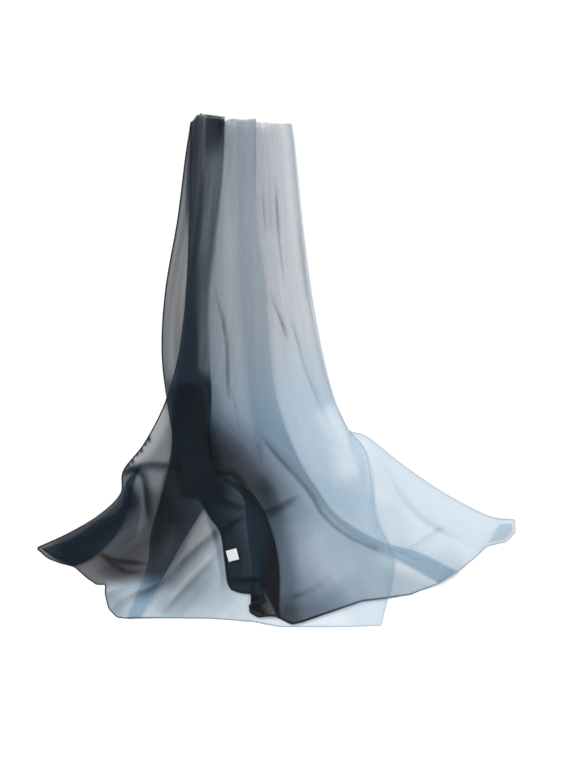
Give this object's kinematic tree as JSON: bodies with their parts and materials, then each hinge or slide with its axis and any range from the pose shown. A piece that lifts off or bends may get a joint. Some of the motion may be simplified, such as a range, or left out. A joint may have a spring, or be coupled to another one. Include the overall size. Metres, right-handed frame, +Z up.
{
  "type": "chiffon scarf, laid flat",
  "caption": "Long chiffon scarf folded in half and laid flat, gathered at the fold, its two pleated tails fanned out, dyed from black along one edge to pale blue-grey along the other.",
  "frame": {"origin": "middle of the footprint, on the surface that the scarf lies on", "axes": "+Y from the free ends of the tails to the gathered fold, +X across the scarf from the dark wing to the pale wing, +Z up out of the surface"},
  "size_m": [0.8011, 0.8596, 0.0186],
  "materials": {
    "chiffon_night": "sheer plain-woven polyester chiffon, dyed near black, soft matte with a faint sheen",
    "chiffon_black": "the same chiffon where three dark layers lie on each other",
    "chiffon_slate": "sheer chiffon in the slate middle of the dye",
    "chiffon_mist": "sheer chiffon in the pale grey part of the dye",
    "chiffon_cloud": "sheer chiffon at the palest, blue-white part of the dye",
    "hem_night": "narrow rolled hem, overlocked in near-black thread",
    "hem_slate": "narrow rolled hem in slate thread and cloth",
    "hem_mist": "narrow rolled hem in pale grey thread and cloth",
    "woven_label": "small white woven care label, blank"
  },
  "bodies": {
    "root": {"lower_dark": "chiffon_night", "wing_band": "chiffon_black", "lower_pale": "chiffon_mist", "tip_turn": "chiffon_cloud", "upper_pale": "chiffon_cloud", "upper_mid": "chiffon_slate", "black_tuck": "chiffon_black", "upper_dark": "chiffon_night", "top_fold": "chiffon_slate", "care_label": "woven_label", "hem_lower_dark_left": "hem_night", "hem_lower_dark_end": "hem_night", "hem_lower_pale_end": "hem_mist", "hem_lower_pale_right": "hem_mist", "hem_upper_pale_end": "hem_mist", "hem_upper_pale_right": "hem_mist", "hem_upper_mid_end": "hem_slate", "hem_upper_dark_left": "hem_night", "hem_upper_dark_end": "hem_night"}
  },
  "joints": []
}
